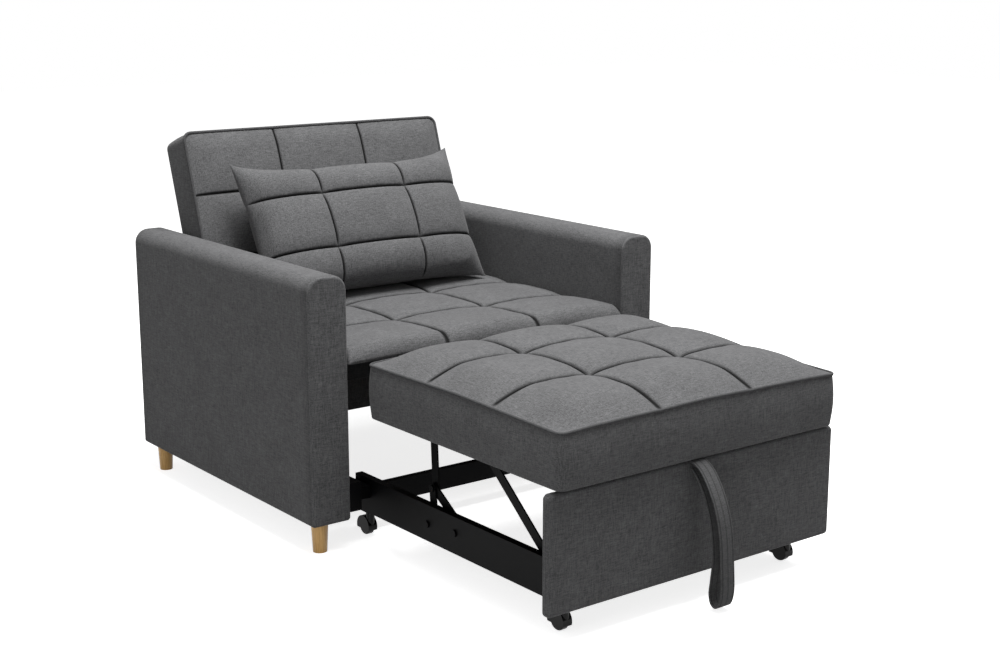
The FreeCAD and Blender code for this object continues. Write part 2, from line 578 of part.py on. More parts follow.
# Casters: a fixed plate with a stem, a hooded yoke that swivels on it, and a wheel
def casters():
    plates = []
    hub_up = S.wheel_rad
    for name, side in sides:
        for end, y in (("front", S.caster_front_y), ("rear", S.caster_rear_y)):
            spot = Vector(side * S.caster_x, D.front_y + y, 0)
            plate_low = S.board_low - S.caster_plate
            span = 2 * S.caster_plate_half
            plate = Part.makeBox(span, span, S.caster_plate,
                                 spot + Vector(-span / 2, -span / 2, plate_low))
            stem = Part.makeCylinder(S.swivel_rad, S.swivel_long,
                                     spot + Vector(0, 0, plate_low - S.swivel_long))
            plates.append(plate.fuse(stem).removeSplitter())

            inner = S.wheel_wide + 2 * S.hood_gap
            outer = inner + 2 * S.hood_wall
            hub = spot + Vector(0, S.caster_trail, hub_up)
            hood_rad = S.wheel_rad + S.hood_gap + S.hood_wall
            hood = Part.makeCylinder(hood_rad, outer, hub - Vector(outer / 2, 0, 0),
                                     Vector(1, 0, 0))
            neck_top = plate_low - S.hood_gap
            neck_rad = S.swivel_rad + 2 * S.hood_wall
            neck = Part.makeCylinder(neck_rad, neck_top - hub_up, spot + Vector(0, 0, hub_up))
            hollow = Part.makeCylinder(S.wheel_rad + S.hood_gap, inner,
                                       hub - Vector(inner / 2, 0, 0), Vector(1, 0, 0))
            skirt = Part.makeBox(4 * hood_rad, 4 * hood_rad, 2 * hood_rad,
                                 Vector(hub.x, hub.y, S.hood_low)
                                 - Vector(2 * hood_rad, 2 * hood_rad, 2 * hood_rad))
            socket = Part.makeCylinder(S.swivel_rad + S.pin_free, S.swivel_long + 1,
                                       spot + Vector(0, 0, plate_low - S.swivel_long - 1))
            axle = Part.makeCylinder(S.axle_rad, outer, hub - Vector(outer / 2, 0, 0),
                                     Vector(1, 0, 0))
            yoke = hood.fuse(neck).cut(hollow).cut(skirt).cut(socket).fuse(axle)
            feature(solid_of(yoke.removeSplitter()), f"caster_yoke_{end}_{name}")

            wheel = Part.makeCylinder(S.wheel_rad, S.wheel_wide,
                                      hub - Vector(S.wheel_wide / 2, 0, 0), Vector(1, 0, 0))
            rims = [edge for edge in wheel.Edges if edge.Curve.TypeId == "Part::GeomCircle"]
            wheel = wheel.makeFillet(S.wheel_round, rims)
            wheel = wheel.cut(Part.makeCylinder(S.axle_rad + S.pin_free, S.wheel_wide + 2,
                                                hub - Vector(S.wheel_wide / 2 + 1, 0, 0),
                                                Vector(1, 0, 0)))
            feature(solid_of(wheel), f"caster_wheel_{end}_{name}")
    feature(Part.makeCompound(plates), "caster_plates")


# The pull strap: a stiff band that juts out from the panel's top edge, hangs down, turns just
# above the floor and climbs back behind itself, in a teardrop that a hand fits through
def pull_strap():
    top, low, out, thick = S.panel_top - S.soft_gap, S.strap_low, -S.strap_out, S.strap_thick
    tall = top - low
    near = -S.soft_gap / 2
    shape = ((near, 1), (0.58 * out, 0.86), (out, 0.52), (out, 0.3), (0.99 * out, 0.1),
             (0.76 * out, 0), (0.54 * out, 0.08), (0.72 * out, 0.36), (0.66 * out, 0.58),
             (0.36 * out, 0.84), (near, 1 - 3 * thick / tall))
    outer = [Vector(0, y, low + share * tall) for y, share in shape]
    # the hole's spots lie a thickness inside, and its ends stop where the bands are sewn
    inner = []
    for before, spot, after in zip([outer[0]] + outer, outer, outer[1:] + [outer[-1]]):
        way = (after - before).normalize()
        inner.append(spot + Vector(0, -way.z, way.y) * thick)
    inner[0] += (inner[1] - inner[0]).normalize() * S.strap_sewn
    inner[-1] += (inner[-2] - inner[-1]).normalize() * S.strap_sewn
    faces = []
    for spots in (outer, inner):
        edges = [arc(*spots[i:i + 3]) for i in range(0, len(spots) - 2, 2)]
        faces.append(Part.Face(Part.Wire(edges + [line(spots[-1], spots[0])])))
    band = faces[0].cut(faces[1]).extrude(Vector(S.strap_wide, 0, 0))
    feature(solid_of(band), "pull_strap",
            Placement(Vector(S.strap_x - S.strap_wide / 2, D.front_y + S.panel_front, 0),
                      Rotation()))


for name, side in sides:
    arm(side, name)
feet()
seat()
backrest()
recline_hinges()
pillow()
base()
pullout()
casters()
pull_strap()
doc.recompute()

for thing in doc.Objects:
    if {"Invalid", "Error"} & set(thing.State):
        raise RuntimeError(f"{thing.Label} failed: {thing.State}")
os.makedirs("parts", exist_ok=True)
for thing in nodes:
    if thing.Shape.isNull() or not thing.Shape.isValid():
        raise RuntimeError(f"{thing.Label} has no valid shape")
    thing.Shape.exportStep(f"parts/{thing.Label}.step")
whole = Part.makeCompound([thing.Shape for thing in nodes]).BoundBox
print(len(nodes), "pieces,", sum(len(thing.Shape.Solids) for thing in nodes), "solids, from",
      [round(v, 1) for v in (whole.XMin, whole.YMin, whole.ZMin)], "to",
      [round(v, 1) for v in (whole.XMax, whole.YMax, whole.ZMax)])
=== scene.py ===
# %% [markdown]
# # Convertible chair bed
# The part is an armchair in charcoal cloth whose lower front rolls out and carries a second
# cushion. The hard pieces come from the CAD frame and only need finishes. Every soft piece is
# worked out here as a surface: numpy computes all its points at once, and Blender gets them as
# a mesh. Lengths are in metres, with MM to write them in millimetres.

import json
from math import cos, radians, sin

import bmesh
import bpy
import numpy as np
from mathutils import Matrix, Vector


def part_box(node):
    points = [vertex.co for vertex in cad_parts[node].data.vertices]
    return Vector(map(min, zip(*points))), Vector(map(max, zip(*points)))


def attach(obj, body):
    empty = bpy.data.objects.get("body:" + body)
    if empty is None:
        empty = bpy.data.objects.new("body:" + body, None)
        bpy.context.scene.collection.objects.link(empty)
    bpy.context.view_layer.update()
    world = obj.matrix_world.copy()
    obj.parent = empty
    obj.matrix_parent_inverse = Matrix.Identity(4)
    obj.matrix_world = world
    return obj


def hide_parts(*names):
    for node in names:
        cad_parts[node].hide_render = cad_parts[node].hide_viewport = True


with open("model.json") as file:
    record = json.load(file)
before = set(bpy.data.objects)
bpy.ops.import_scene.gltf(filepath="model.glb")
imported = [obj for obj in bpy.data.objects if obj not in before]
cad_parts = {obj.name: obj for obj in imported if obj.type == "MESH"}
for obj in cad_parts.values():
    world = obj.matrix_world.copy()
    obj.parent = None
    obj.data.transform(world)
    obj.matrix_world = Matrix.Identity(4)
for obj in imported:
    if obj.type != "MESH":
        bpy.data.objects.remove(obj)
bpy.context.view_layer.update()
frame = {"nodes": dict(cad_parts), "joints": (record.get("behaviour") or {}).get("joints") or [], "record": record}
MM = 0.001

# %% [markdown]
# ## Reading sizes from the frame
# Each soft piece takes the place of a CAD solid, so its size is that solid's own box. The
# backrest leans about its hinge, and the frame's list of joints says where that hinge is.


# %% Boxes, hinges and leaning frames
def span(node):
    """The node's box at rest as (x0, x1, y0, y1, z0, z1)."""
    low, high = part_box(node)
    return low.x, high.x, low.y, high.y, low.z, high.z


def joint(name):
    """The joint's record, found by name."""
    return next(j for j in frame["joints"] if j["name"] == name)


arm_front = span("arm_cover_left")[2]


def leaning(points, foot, lean):
    """Stands a flat-lying form up: its own y climbs at `lean` degrees behind the vertical and
    its own z points to the front. The form's origin goes to `foot`."""
    a = radians(lean)
    x, along, up = points.T
    y = along * sin(a) - up * cos(a)
    z = along * cos(a) + up * sin(a)
    return np.stack([x, y, z], axis=1) + np.asarray(foot)


# %% [markdown]
# ## Small helpers for meshes
# A grid of points becomes quads by index arithmetic, with no loop over points. The number that
# each point carries for the material, such as how near it lies to a seam, is an attribute; the
# cloth is darker where it is high, painted shade in the seam.


# %% Grids to meshes
def quads(index):
    """The faces of a grid of point numbers: each cell's corners, anticlockwise from above."""
    a, b = index[:-1, :-1], index[:-1, 1:]
    c, d = index[1:, 1:], index[1:, :-1]
    return np.stack([a, b, c, d], axis=-1).reshape(-1, 4)


def rim(index):
    """The point numbers round the edge of a grid, anticlockwise from above."""
    return np.concatenate([index[0, :-1], index[:-1, -1], index[-1, :0:-1], index[:0:-1, 0]])


def rings(loops):
    """The faces between closed loops of point numbers, one loop per row."""
    closed = np.concatenate([loops, loops[:, :1]], axis=1)
    return quads(closed)


def second_sheet(index):
    """The numbers of a second sheet of points that is sewn to the first along its edge."""
    inner = np.ones(index.shape, bool)
    inner[[0, -1]] = inner[:, [0, -1]] = False
    return np.where(inner, index.size + index, index)


def trimmed(points, faces, seam_shades):
    """Leaves out the points that no face uses and renumbers the rest."""
    used = np.unique(faces)
    renumber = np.zeros(len(points), int)
    renumber[used] = np.arange(len(used))
    return points[used], renumber[faces], seam_shades[used]


def make_mesh(name, points, faces, seam=None):
    """A smooth mesh object from arrays, with the seam attribute where it has one: how far the
    cloth is darkened there, painted shade in the seams.
    """
    data = bpy.data.meshes.new(name)
    data.from_pydata(points.tolist(), [], faces.tolist())
    data.update()
    data.shade_smooth()
    seam_shade = data.attributes.new("seam", "FLOAT", "POINT")
    if seam is not None:
        seam_shade.data.foreach_set("value", np.asarray(seam, np.float32))
    piece = bpy.data.objects.new(name, data)
    bpy.context.scene.collection.objects.link(piece)
    return piece


# %% [markdown]
# ## Colours and nodes
# Colours are written as sRGB hex, as a paint chart gives them, and one function turns them to
# the linear values that the shaders work in. One more function adds any node with its settings
# and its links.


# %% Colour and node helpers
def linear(code):
    """sRGB hex to linear: c / 12.92 below 0.04045, else ((c + 0.055) / 1.055) to the 2.4."""
    c = np.array([int(code[i:i + 2], 16) for i in (1, 3, 5)]) / 255
    return (*np.where(c <= 0.04045, c / 12.92, ((c + 0.055) / 1.055) ** 2.4), 1.0)


def add(tree, kind, settings=(), **links):
    """Adds a node. Settings are its properties, and each link is a socket or a plain value."""
    node = tree.nodes.new(kind)
    for key, value in dict(settings).items():
        setattr(node, key, value)
    for key, value in links.items():
        socket = node.inputs[int(key[1:])] if key[0] == "i" and key[1:].isdigit() else \
            node.inputs[key.replace("_", " ")]
        if isinstance(value, bpy.types.NodeSocket):
            tree.links.new(value, socket)
        else:
            socket.default_value = value
    return node


def material(name):
    """A new material: its node tree, its shader and its object coordinates."""
    finish = bpy.data.materials.new(name)
    finish.use_nodes = True
    tree = finish.node_tree
    place = add(tree, "ShaderNodeTexCoord")
    return finish, tree, tree.nodes["Principled BSDF"], place.outputs["Object"]


# %% [markdown]
# ## Charcoal upholstery cloth
# The cover is a polyester linen-look cloth: two greys of slub yarn in a plain weave, so it
# looks mottled close by and even from afar, with a faint sheen at grazing angles. Real yarns
# lie about 0.8 mm apart, too fine to show in the picture, so they are drawn at about 2 mm. Noise
# stretched along each axis in turn gives yarns that run both ways on any face. Where a seam
# pulls the cloth in, the seam attribute darkens it: painted shade in the groove. The piping
# cloth is the same cloth made darker, painted shade under the cord.


# %% Woven cloth
def yarns(tree, place, spacing, stretch):
    """Noise drawn out along one axis: streaks one yarn wide and several yarns long."""
    turned = add(tree, "ShaderNodeMapping", i0=place, Scale=stretch)
    return add(tree, "ShaderNodeTexNoise", {"noise_dimensions": "3D"}, Vector=turned.outputs[0],
               Scale=1 / spacing, Detail=2.0, Roughness=0.6).outputs["Fac"]


def cloth(name, dark, light, spacing=1.9 * MM, painted_seam_shade=0.95, sheen=0.12):
    """Plain weave: the mean of three crossed streak noises picks between two yarn greys, a
    slow noise shifts its tone at random by a few percent, and the same yarns give the bump.
    The seam attribute darkens it towards black: painted shade in the seam grooves."""
    finish, tree, shader, place = material(name)
    long = 0.12
    streaks = [yarns(tree, place, spacing, stretch) for stretch in
               ((long, 1, 1), (1, long, 1), (1, 1, long))]
    two = add(tree, "ShaderNodeMath", {"operation": "ADD"}, i0=streaks[0], i1=streaks[1])
    three = add(tree, "ShaderNodeMath", {"operation": "ADD"}, i0=two.outputs[0], i1=streaks[2])
    weave = add(tree, "ShaderNodeMapRange", Value=three.outputs[0], From_Min=1.1, From_Max=1.9)
    yarn = add(tree, "ShaderNodeMix", {"data_type": "RGBA"}, i0=weave.outputs[0],
               i6=linear(dark), i7=linear(light))
    cloud = add(tree, "ShaderNodeTexNoise", Vector=place, Scale=14.0, Detail=3.0)
    shade = add(tree, "ShaderNodeMapRange", Value=cloud.outputs["Fac"], From_Min=0.3,
                From_Max=0.7, To_Min=0.93, To_Max=1.07)
    # Painted shade: the seam attribute darkens the cloth towards black in the seam grooves.
    seam_shade = add(tree, "ShaderNodeAttribute", {"attribute_name": "seam"})
    deep = add(tree, "ShaderNodeMapRange", Value=seam_shade.outputs["Fac"], To_Min=1.0,
               To_Max=1 - painted_seam_shade)
    factor = add(tree, "ShaderNodeMath", {"operation": "MULTIPLY"}, i0=shade.outputs[0],
                 i1=deep.outputs[0])
    toned = add(tree, "ShaderNodeVectorMath", {"operation": "SCALE"}, i0=yarn.outputs[2],
                Scale=factor.outputs[0])
    bump = add(tree, "ShaderNodeBump", Height=three.outputs[0], Strength=0.4,
               Distance=0.4 * MM)
    tree.links.new(toned.outputs[0], shader.inputs["Base Color"])
    tree.links.new(bump.outputs[0], shader.inputs["Normal"])
    shader.inputs["Roughness"].default_value = 0.92
    shader.inputs["Specular IOR Level"].default_value = 0.25
    shader.inputs["Sheen Weight"].default_value = sheen
    shader.inputs["Sheen Roughness"].default_value = 0.45
    return finish


upholstery = cloth("charcoal_linen_look_cloth", "#444445", "#737374")
# The piping is the same cloth made darker: painted shade under the cord.
piping_cloth_painted_shade = cloth("charcoal_piping_with_painted_shade", "#3f3f40", "#575758", sheen=0.05)
strap_cloth = cloth("charcoal_strap_cloth", "#434344", "#69696a", spacing=1.5 * MM)
lining = cloth("black_nonwoven_lining", "#333334", "#464647", sheen=0)
print("cloths", [m.name for m in (upholstery, piping_cloth_painted_shade, strap_cloth, lining)])

# %% [markdown]
# ## Wood
# The feet are turned from rubberwood under clear satin lacquer: a pale, warm wood with fine
# straight grain up the leg. The hidden frame is sawn pine, and the cushion's base is birch
# plywood. All three are streaks along the grain, stretched noise again.


# %% Wood grain
def wood(name, dark, light, grain, along, rough, coat):
    """Straight grain: noise squeezed across the grain and drawn out along it, between two
    tones, with the same streaks as a slight bump."""
    finish, tree, shader, place = material(name)
    stretch = [1.0 / 14 if axis == along else 1.0 for axis in "xyz"]
    turned = add(tree, "ShaderNodeMapping", i0=place, Scale=stretch)
    streak = add(tree, "ShaderNodeTexNoise", Vector=turned.outputs[0], Scale=1 / grain,
                 Detail=4.0, Roughness=0.65, Distortion=0.4)
    tone = add(tree, "ShaderNodeMapRange", Value=streak.outputs["Fac"], From_Min=0.32,
               From_Max=0.68)
    mix = add(tree, "ShaderNodeMix", {"data_type": "RGBA"}, i0=tone.outputs[0],
              i6=linear(dark), i7=linear(light))
    bump = add(tree, "ShaderNodeBump", Height=streak.outputs["Fac"], Strength=0.25,
               Distance=0.2 * MM)
    tree.links.new(mix.outputs[2], shader.inputs["Base Color"])
    tree.links.new(bump.outputs[0], shader.inputs["Normal"])
    shader.inputs["Roughness"].default_value = rough
    shader.inputs["Coat Weight"].default_value = coat
    shader.inputs["Coat Roughness"].default_value = 0.3
    return finish


foot_wood = wood("lacquered_rubberwood", "#ca9340", "#f0c274", 3 * MM, "z", 0.45, 0.4)
lumber = wood("sawn_pine", "#b48a58", "#d4ae7c", 5 * MM, "x", 0.8, 0.0)
plywood = wood("birch_plywood", "#bd9a6b", "#d9bd92", 4 * MM, "y", 0.7, 0.0)
print("woods", foot_wood.name, lumber.name, plywood.name)

# %% [markdown]
# ## Metal and plastic
# The rails, boards and links are steel under black powder coat: a faint orange peel, half matt.
# The feet's studs and the recline pins are zinc plated steel. Caster hoods and wheels are
# moulded black nylon, with a soft gloss where the mould was polished.


# %% Coated steel, zinc and nylon
def grained(name, dark, light, grain, depth, **sockets):
    """An even finish: fine noise between two close tones, and the same noise as a bump."""
    finish, tree, shader, place = material(name)
    noise = add(tree, "ShaderNodeTexNoise", Vector=place, Scale=1 / grain, Detail=2.0)
    slow = add(tree, "ShaderNodeTexNoise", Vector=place, Scale=20.0, Detail=2.0)
    blend = add(tree, "ShaderNodeMath", {"operation": "MULTIPLY_ADD"}, i0=slow.outputs["Fac"],
                i1=0.7, i2=noise.outputs["Fac"])
    tone = add(tree, "ShaderNodeMapRange", Value=blend.outputs[0], From_Min=0.6, From_Max=1.1)
    mix = add(tree, "ShaderNodeMix", {"data_type": "RGBA"}, i0=tone.outputs[0],
              i6=linear(dark), i7=linear(light))
    bump = add(tree, "ShaderNodeBump", Height=noise.outputs["Fac"], Strength=0.4,
               Distance=depth)
    tree.links.new(mix.outputs[2], shader.inputs["Base Color"])
    tree.links.new(bump.outputs[0], shader.inputs["Normal"])
    for socket, value in sockets.items():
        shader.inputs[socket.replace("_", " ")].default_value = value
    return finish


powder_coat = grained("black_powder_coat", "#040405", "#09090a", 1.6 * MM, 0.1 * MM,
                      Roughness=0.55, Specular_IOR_Level=0.06)
zinc = grained("zinc_plated_steel", "#8f9194", "#b4b6b8", 1.2 * MM, 0.05 * MM,
               Roughness=0.38, Metallic=1.0)
nylon = grained("moulded_black_nylon", "#040404", "#080808", 1.0 * MM, 0.02 * MM,
                Roughness=0.2, Specular_IOR_Level=0.14)
print("hard finishes", powder_coat.name, zinc.name, nylon.name)

# %% [markdown]
# ## Finishes for the CAD pieces
# The CAD pieces stay as they are. Each one's record names a material slot, and each slot has
# its finish here.

# %% Give every CAD node its finish
finish_of = {
    "upholstery": upholstery, "strap_webbing": strap_cloth, "lumber": lumber,
    "plywood": plywood, "foot_wood": foot_wood, "black_steel": powder_coat,
    "dust_cloth": lining, "zinc_steel": zinc, "caster_hood": nylon, "caster_wheel": nylon,
}
slot_of = {part["node"]: part["material_slot"] for part in frame["record"]["subparts"]}
for node, thing in frame["nodes"].items():
    for place in thing.material_slots:
        place.material = finish_of[slot_of[node]]
print("dressed", len(slot_of), "nodes")

# %% [markdown]
# ## Lines, seams and arches
# A tufted cushion is a grid of sewn seams with foam that swells between them. Along each axis
# the swelling is a row of arches, zero at the seams. The grid of points is even, with more
# lines next to each seam, so that the narrow dip of the stitching has real geometry.


# %% Grid lines and arches
STEP, COARSE_STEP = 6 * MM, 8 * MM


def grid_lines(low, high, seams, step, soft_ends=0.0):
    """Even lines from low to high, plus pairs of lines 1 to 8 mm either side of each seam and
    a few close to the ends."""
    lines = [np.linspace(low, high, int(round((high - low) / step)) + 1)]
    for at in seams:
        near = np.array([0, 1, 2, 3.5, 5.5, 8]) * MM
        lines += [at + near, at - near]
    if soft_ends:
        ease = soft_ends * (1 - np.cos(np.linspace(0, np.pi / 2, 8)))
        lines += [low + ease, high - ease]
    lines = np.unique(np.round(np.concatenate(lines), 5))
    keep = np.concatenate([[True], np.diff(lines) > 0.7 * MM])
    lines = lines[keep]
    lines[-1] = high
    return lines


def arches(at, edges, power=2.2, round_by=0.62):
    """A row of arches between neighbouring edges: (1 - |2u - 1|^power)^round_by, with u from 0
    to 1 across each cell."""
    cell = np.clip(np.searchsorted(edges, at, side="right") - 1, 0, len(edges) - 2)
    edges = np.asarray(edges)
    u = (at - edges[cell]) / (edges[cell + 1] - edges[cell])
    return np.clip(1 - np.abs(2 * u - 1) ** power, 0, 1) ** round_by


def nearness(at, seams, width):
    """1 on a seam and falling off as a bell curve: exp(-(distance / width)^2)."""
    gaps = np.min([np.abs(at - s) for s in seams], axis=0)
    return np.exp(-(gaps / width) ** 2)


def tufts(x, y, x_edges, y_edges, swell, dip, width=2.8 * MM):
    """Height and painted seam shade of a tufted face. Height is half the swell times each axis's
    arches, so a seam rises in an arch between crossings, less a narrow dip on the seams. The
    painted shade lies on the seams and fades at the crossings, where the stitching lies flat."""
    height = 0.5 * swell * (arches(x, x_edges) + arches(y, y_edges))
    across = nearness(x, x_edges[1:-1], width)
    along = nearness(y, y_edges[1:-1], width)
    crossing = nearness(x, x_edges[1:-1], 15 * MM) * nearness(y, y_edges[1:-1], 15 * MM)
    groove = np.maximum(across, along) * (1 - 0.75 * crossing)
    gathers = puckers(x, y, x_edges[1:-1], y_edges[1:-1])
    return height - dip * groove + gathers, np.clip(1.6 * groove, 0, 1)


def puckers(x, y, x_seams, y_seams, depth=0.6 * MM, length=62 * MM, reach=30 * MM):
    """Small gathers that stitching pulls into cloth: a wave along each seam, uneven because
    two lengths are added. It is nothing on the seam itself, strongest a little beside it and
    fades away from there, as the difference of a wide and a narrow bell curve."""
    def wave(at, phase):
        """Two sine waves of different lengths, added."""
        return np.sin(2 * np.pi * at / length + phase) + \
            0.7 * np.sin(2 * np.pi * at / (1.7 * length) + 2 * phase)
    beside_x = nearness(x, x_seams, reach) - nearness(x, x_seams, reach / 3)
    beside_y = nearness(y, y_seams, reach) - nearness(y, y_seams, reach / 3)
    return depth * (beside_x * wave(y, 0.6 + 5 * x) + beside_y * wave(x, 1.9 + 5 * y))


def from_border(x, y, box, reach):
    """0 on the outline and 1 from `reach` inwards: (1 - (1 - d / reach)^2.4) on each axis."""
    dx = np.clip(np.minimum(x - box[0], box[1] - x) / reach, 0, 1)
    dy = np.clip(np.minimum(y - box[2], box[3] - y) / reach, 0, 1)
    return (1 - (1 - dx) ** 2.4) * (1 - (1 - dy) ** 2.4)


def thirds(low, high):
    """The edges of three equal cells."""
    return np.linspace(low, high, 4)


# %% [markdown]
# ## Boxed cushions
# The pull-out cushion and the backrest are boxed: a sewn top, a band round the side and a
# bottom. The plan is a rectangle with rounded corners. A grid keeps its quads in a rounded
# corner when each point there moves from the square towards the circle.


# %% The boxed form
def round_plan(x, y, box, corner):
    """Moves grid points in the corners of a rectangle onto a rounded corner: the excess (a, b)
    over the straight part is scaled by max(a, b) / hypot(a, b)."""
    x0, x1, y0, y1 = box
    mid_x, mid_y = (x0 + x1) / 2, (y0 + y1) / 2
    a = np.clip(np.abs(x - mid_x) - ((x1 - x0) / 2 - corner), 0, None)
    b = np.clip(np.abs(y - mid_y) - ((y1 - y0) / 2 - corner), 0, None)
    far = np.hypot(a, b)
    pull = np.where(far > 0, np.maximum(a, b) / np.where(far > 0, far, 1), 1)
    return x + np.sign(x - mid_x) * a * (pull - 1), y + np.sign(y - mid_y) * b * (pull - 1)


def outward(loop):
    """The outward unit normals, in plan, of a closed anticlockwise loop."""
    along = np.roll(loop, -1, axis=0) - np.roll(loop, 1, axis=0)
    side = np.stack([along[:, 1], -along[:, 0]], axis=1)
    return side / np.linalg.norm(side, axis=1, keepdims=True)


def boxed(xs, ys, corner, top, base, bulge, rows=10, hem=4 * MM):
    """A closed boxed cushion: the top grid at the height top(x, y), a side band that bulges by
    sin(pi f) between the seams and turns under over `hem`, and a flat base. Returns points,
    faces, the painted seam shade of each point and the numbers of the rim."""
    x, y = np.meshgrid(xs, ys)
    box = (xs[0], xs[-1], ys[0], ys[-1])
    height, seam_shade = top(x, y)
    px, py = round_plan(x, y, box, corner)
    count = x.size
    index = np.arange(count).reshape(x.shape)
    edge = rim(index)
    upper = np.stack([px.ravel(), py.ravel(), height.ravel()], axis=1)
    loop, normal = upper[edge], outward(upper[edge][:, :2])
    f = np.linspace(0, 1, rows + 1)[1:-1]
    out = bulge * np.sin(np.pi * f)
    band_z = loop[None, :, 2] + (base + hem - loop[None, :, 2]) * f[:, None]
    band_xy = loop[None, :, :2] + normal[None] * out[:, None, None]
    band = np.concatenate([band_xy, band_z[..., None]], axis=2)
    turn = np.linspace(0, np.pi / 2, 4)
    hem_xy = loop[None, :, :2] - normal[None] * (hem * (1 - np.cos(turn)))[:, None, None]
    hem_z = np.broadcast_to((base + hem * (1 - np.sin(turn)))[:, None, None],
                            (len(turn), len(loop), 1))
    under = np.concatenate([hem_xy, hem_z], axis=2)
    sides = np.concatenate([band, under[:-1]])
    shrink = np.array([1 - 2 * hem / (box[1] - box[0]), 1 - 2 * hem / (box[3] - box[2])])
    mid = np.array([(box[0] + box[1]) / 2, (box[2] + box[3]) / 2])
    low_xy = (upper[:, :2] - mid) * shrink + mid
    low_xy[edge] = under[-1][:, :2]
    lower = np.column_stack([low_xy, np.full(count, base)])
    side_numbers = count + np.arange(sides.shape[0] * len(edge)).reshape(-1, len(edge))
    low_start = count + side_numbers.size
    loops = np.concatenate([edge[None], side_numbers, low_start + edge[None]])
    points = np.concatenate([upper, sides.reshape(-1, 3), lower])
    faces = np.concatenate([quads(index), rings(loops[::-1]), quads(low_start + index)[:, ::-1]])
    seam_shades = np.concatenate([seam_shade.ravel(), np.zeros(len(points) - count)])
    return points, faces, seam_shades, edge


def cord_along(loop, radius, sides=8):
    """A closed tube round a closed path: at each point a circle in the plane across the path,
    spanned by the outward and the upward direction."""
    along = np.roll(loop, -1, axis=0) - np.roll(loop, 1, axis=0)
    along /= np.linalg.norm(along, axis=1, keepdims=True)
    up = np.array([0, 0, 1.0])
    out = np.cross(along, up)
    out /= np.linalg.norm(out, axis=1, keepdims=True)
    rise = np.cross(out, along)
    angle = np.linspace(0, 2 * np.pi, sides, endpoint=False)
    ring = (np.cos(angle)[:, None, None] * out + np.sin(angle)[:, None, None] * rise) * radius
    points = (loop[None] + ring).reshape(-1, 3)
    index = np.arange(len(points)).reshape(sides, len(loop))
    closed = np.concatenate([index, index[:1]])
    closed = np.concatenate([closed, closed[:, :1]], axis=1)
    return points, quads(closed)


# %% [markdown]
# ## Dressing a piece
# Each new piece takes its cloth, its slot, the body it rides on and the CAD solids it stands
# for in one call.


# %% Dress
def dress(piece, finish, body, nodes=()):
    """Gives a piece its material, slot, body and replaced nodes."""
    piece.data.materials.append(finish)
    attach(piece, body)
    if nodes:
        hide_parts(*nodes)
    print(piece.name, len(piece.data.vertices), "points", piece.data.validate())
    return piece


# %% [markdown]
# ## The pull-out cushion
# Nine cells swell between two seams each way. The seams meet in deep crossings, and the
# piping along the top edge is lowest at the corners. The cushion hangs over its board by a few
# millimetres at both sides, and underneath the cloth turns in.

# %% Pull-out cushion
x0, x1, y0, y1, z0 = span("pullout_cushion")[:5]
RIM_UP, RIM_BOW, RIM_TILT = 116 * MM, 6 * MM, 3 * MM
CELL_SWELL, CELL_REACH, SEAM_DIP, SEAM_WIDE = 27 * MM, 120 * MM, 5 * MM, 5.2 * MM
DOME_EDGE, DOME_MIDDLE = 12 * MM, 8 * MM


def pullout_top(x, y):
    """The piping's height, bowed up between the corners and a little higher at the rear, and
    inside it a dome with tufts."""
    u = 2 * (x - x0) / (x1 - x0) - 1
    v = 2 * (y - y0) / (y1 - y0) - 1
    bow = RIM_BOW * (0.5 - np.abs(u * v))
    puff, seam_shade = tufts(x, y, thirds(x0, x1), thirds(y0, y1), CELL_SWELL, SEAM_DIP, SEAM_WIDE)
    rise = from_border(x, y, (x0, x1, y0, y1), CELL_REACH)
    dome = DOME_EDGE + DOME_MIDDLE * (1 - u ** 2) * (1 - v ** 2)
    tilt = RIM_TILT * (1 + v)
    return z0 + RIM_UP + tilt + bow + rise * (dome + puff), seam_shade * np.clip(4 * rise, 0, 1)


inset, overhang = 4 * MM, 3 * MM
xs = grid_lines(x0 - overhang, x1 + overhang, thirds(x0, x1)[1:3], STEP, 22 * MM)
ys = grid_lines(y0 + inset, y1 - inset, thirds(y0, y1)[1:3], STEP, 22 * MM)
points, faces, seam_shades, edge = boxed(xs, ys, 18 * MM, pullout_top, z0, 5 * MM)
pullout = make_mesh("pullout_cushion_cover", points, faces, seam_shades)
dress(pullout, upholstery, "pullout", ["pullout_cushion"])
piping = make_mesh("pullout_piping", *cord_along(points[edge], 3.2 * MM))
dress(piping, piping_cloth_painted_shade, "pullout")

# %% [markdown]
# ## The seat
# Seat cells swell in the same way, three across and three deep. Its front rolls over towards
# the floor, and its sides press against the arms. So the height is multiplied by a quarter
# circle at each side: sqrt(1 - (1 - d / r)^2), with d the distance from the side.


# %% Rolled edges
def rolled(at, low, high, low_radius, high_radius):
    """The quarter circles at both ends of an axis."""
    near = np.clip(1 - (at - low) / low_radius, 0, 1)
    far = np.clip(1 - (high - at) / high_radius, 0, 1)
    return np.sqrt(np.clip(1 - near ** 2, 0, 1) * np.clip(1 - far ** 2, 0, 1))


def rolled_pad(xs, ys, top, base, x_radii, y_radii):
    """A closed pad with no band: the top falls to the base on quarter circles all round."""
    x, y = np.meshgrid(xs, ys)
    height, seam_shade = top(x, y)
    fall = rolled(x, xs[0], xs[-1], *x_radii) * rolled(y, ys[0], ys[-1], *y_radii)
    index = np.arange(x.size).reshape(x.shape)
    upper = np.stack([x, y, base + (height - base) * fall], axis=-1).reshape(-1, 3)
    lower = upper * (1, 1, 0) + (0, 0, base)
    points = np.concatenate([upper, lower])
    faces = np.concatenate([quads(index), quads(second_sheet(index))[:, ::-1]])
    seam_shades = np.concatenate([seam_shade.ravel(), np.zeros(x.size)])
    return trimmed(points, faces, seam_shades)


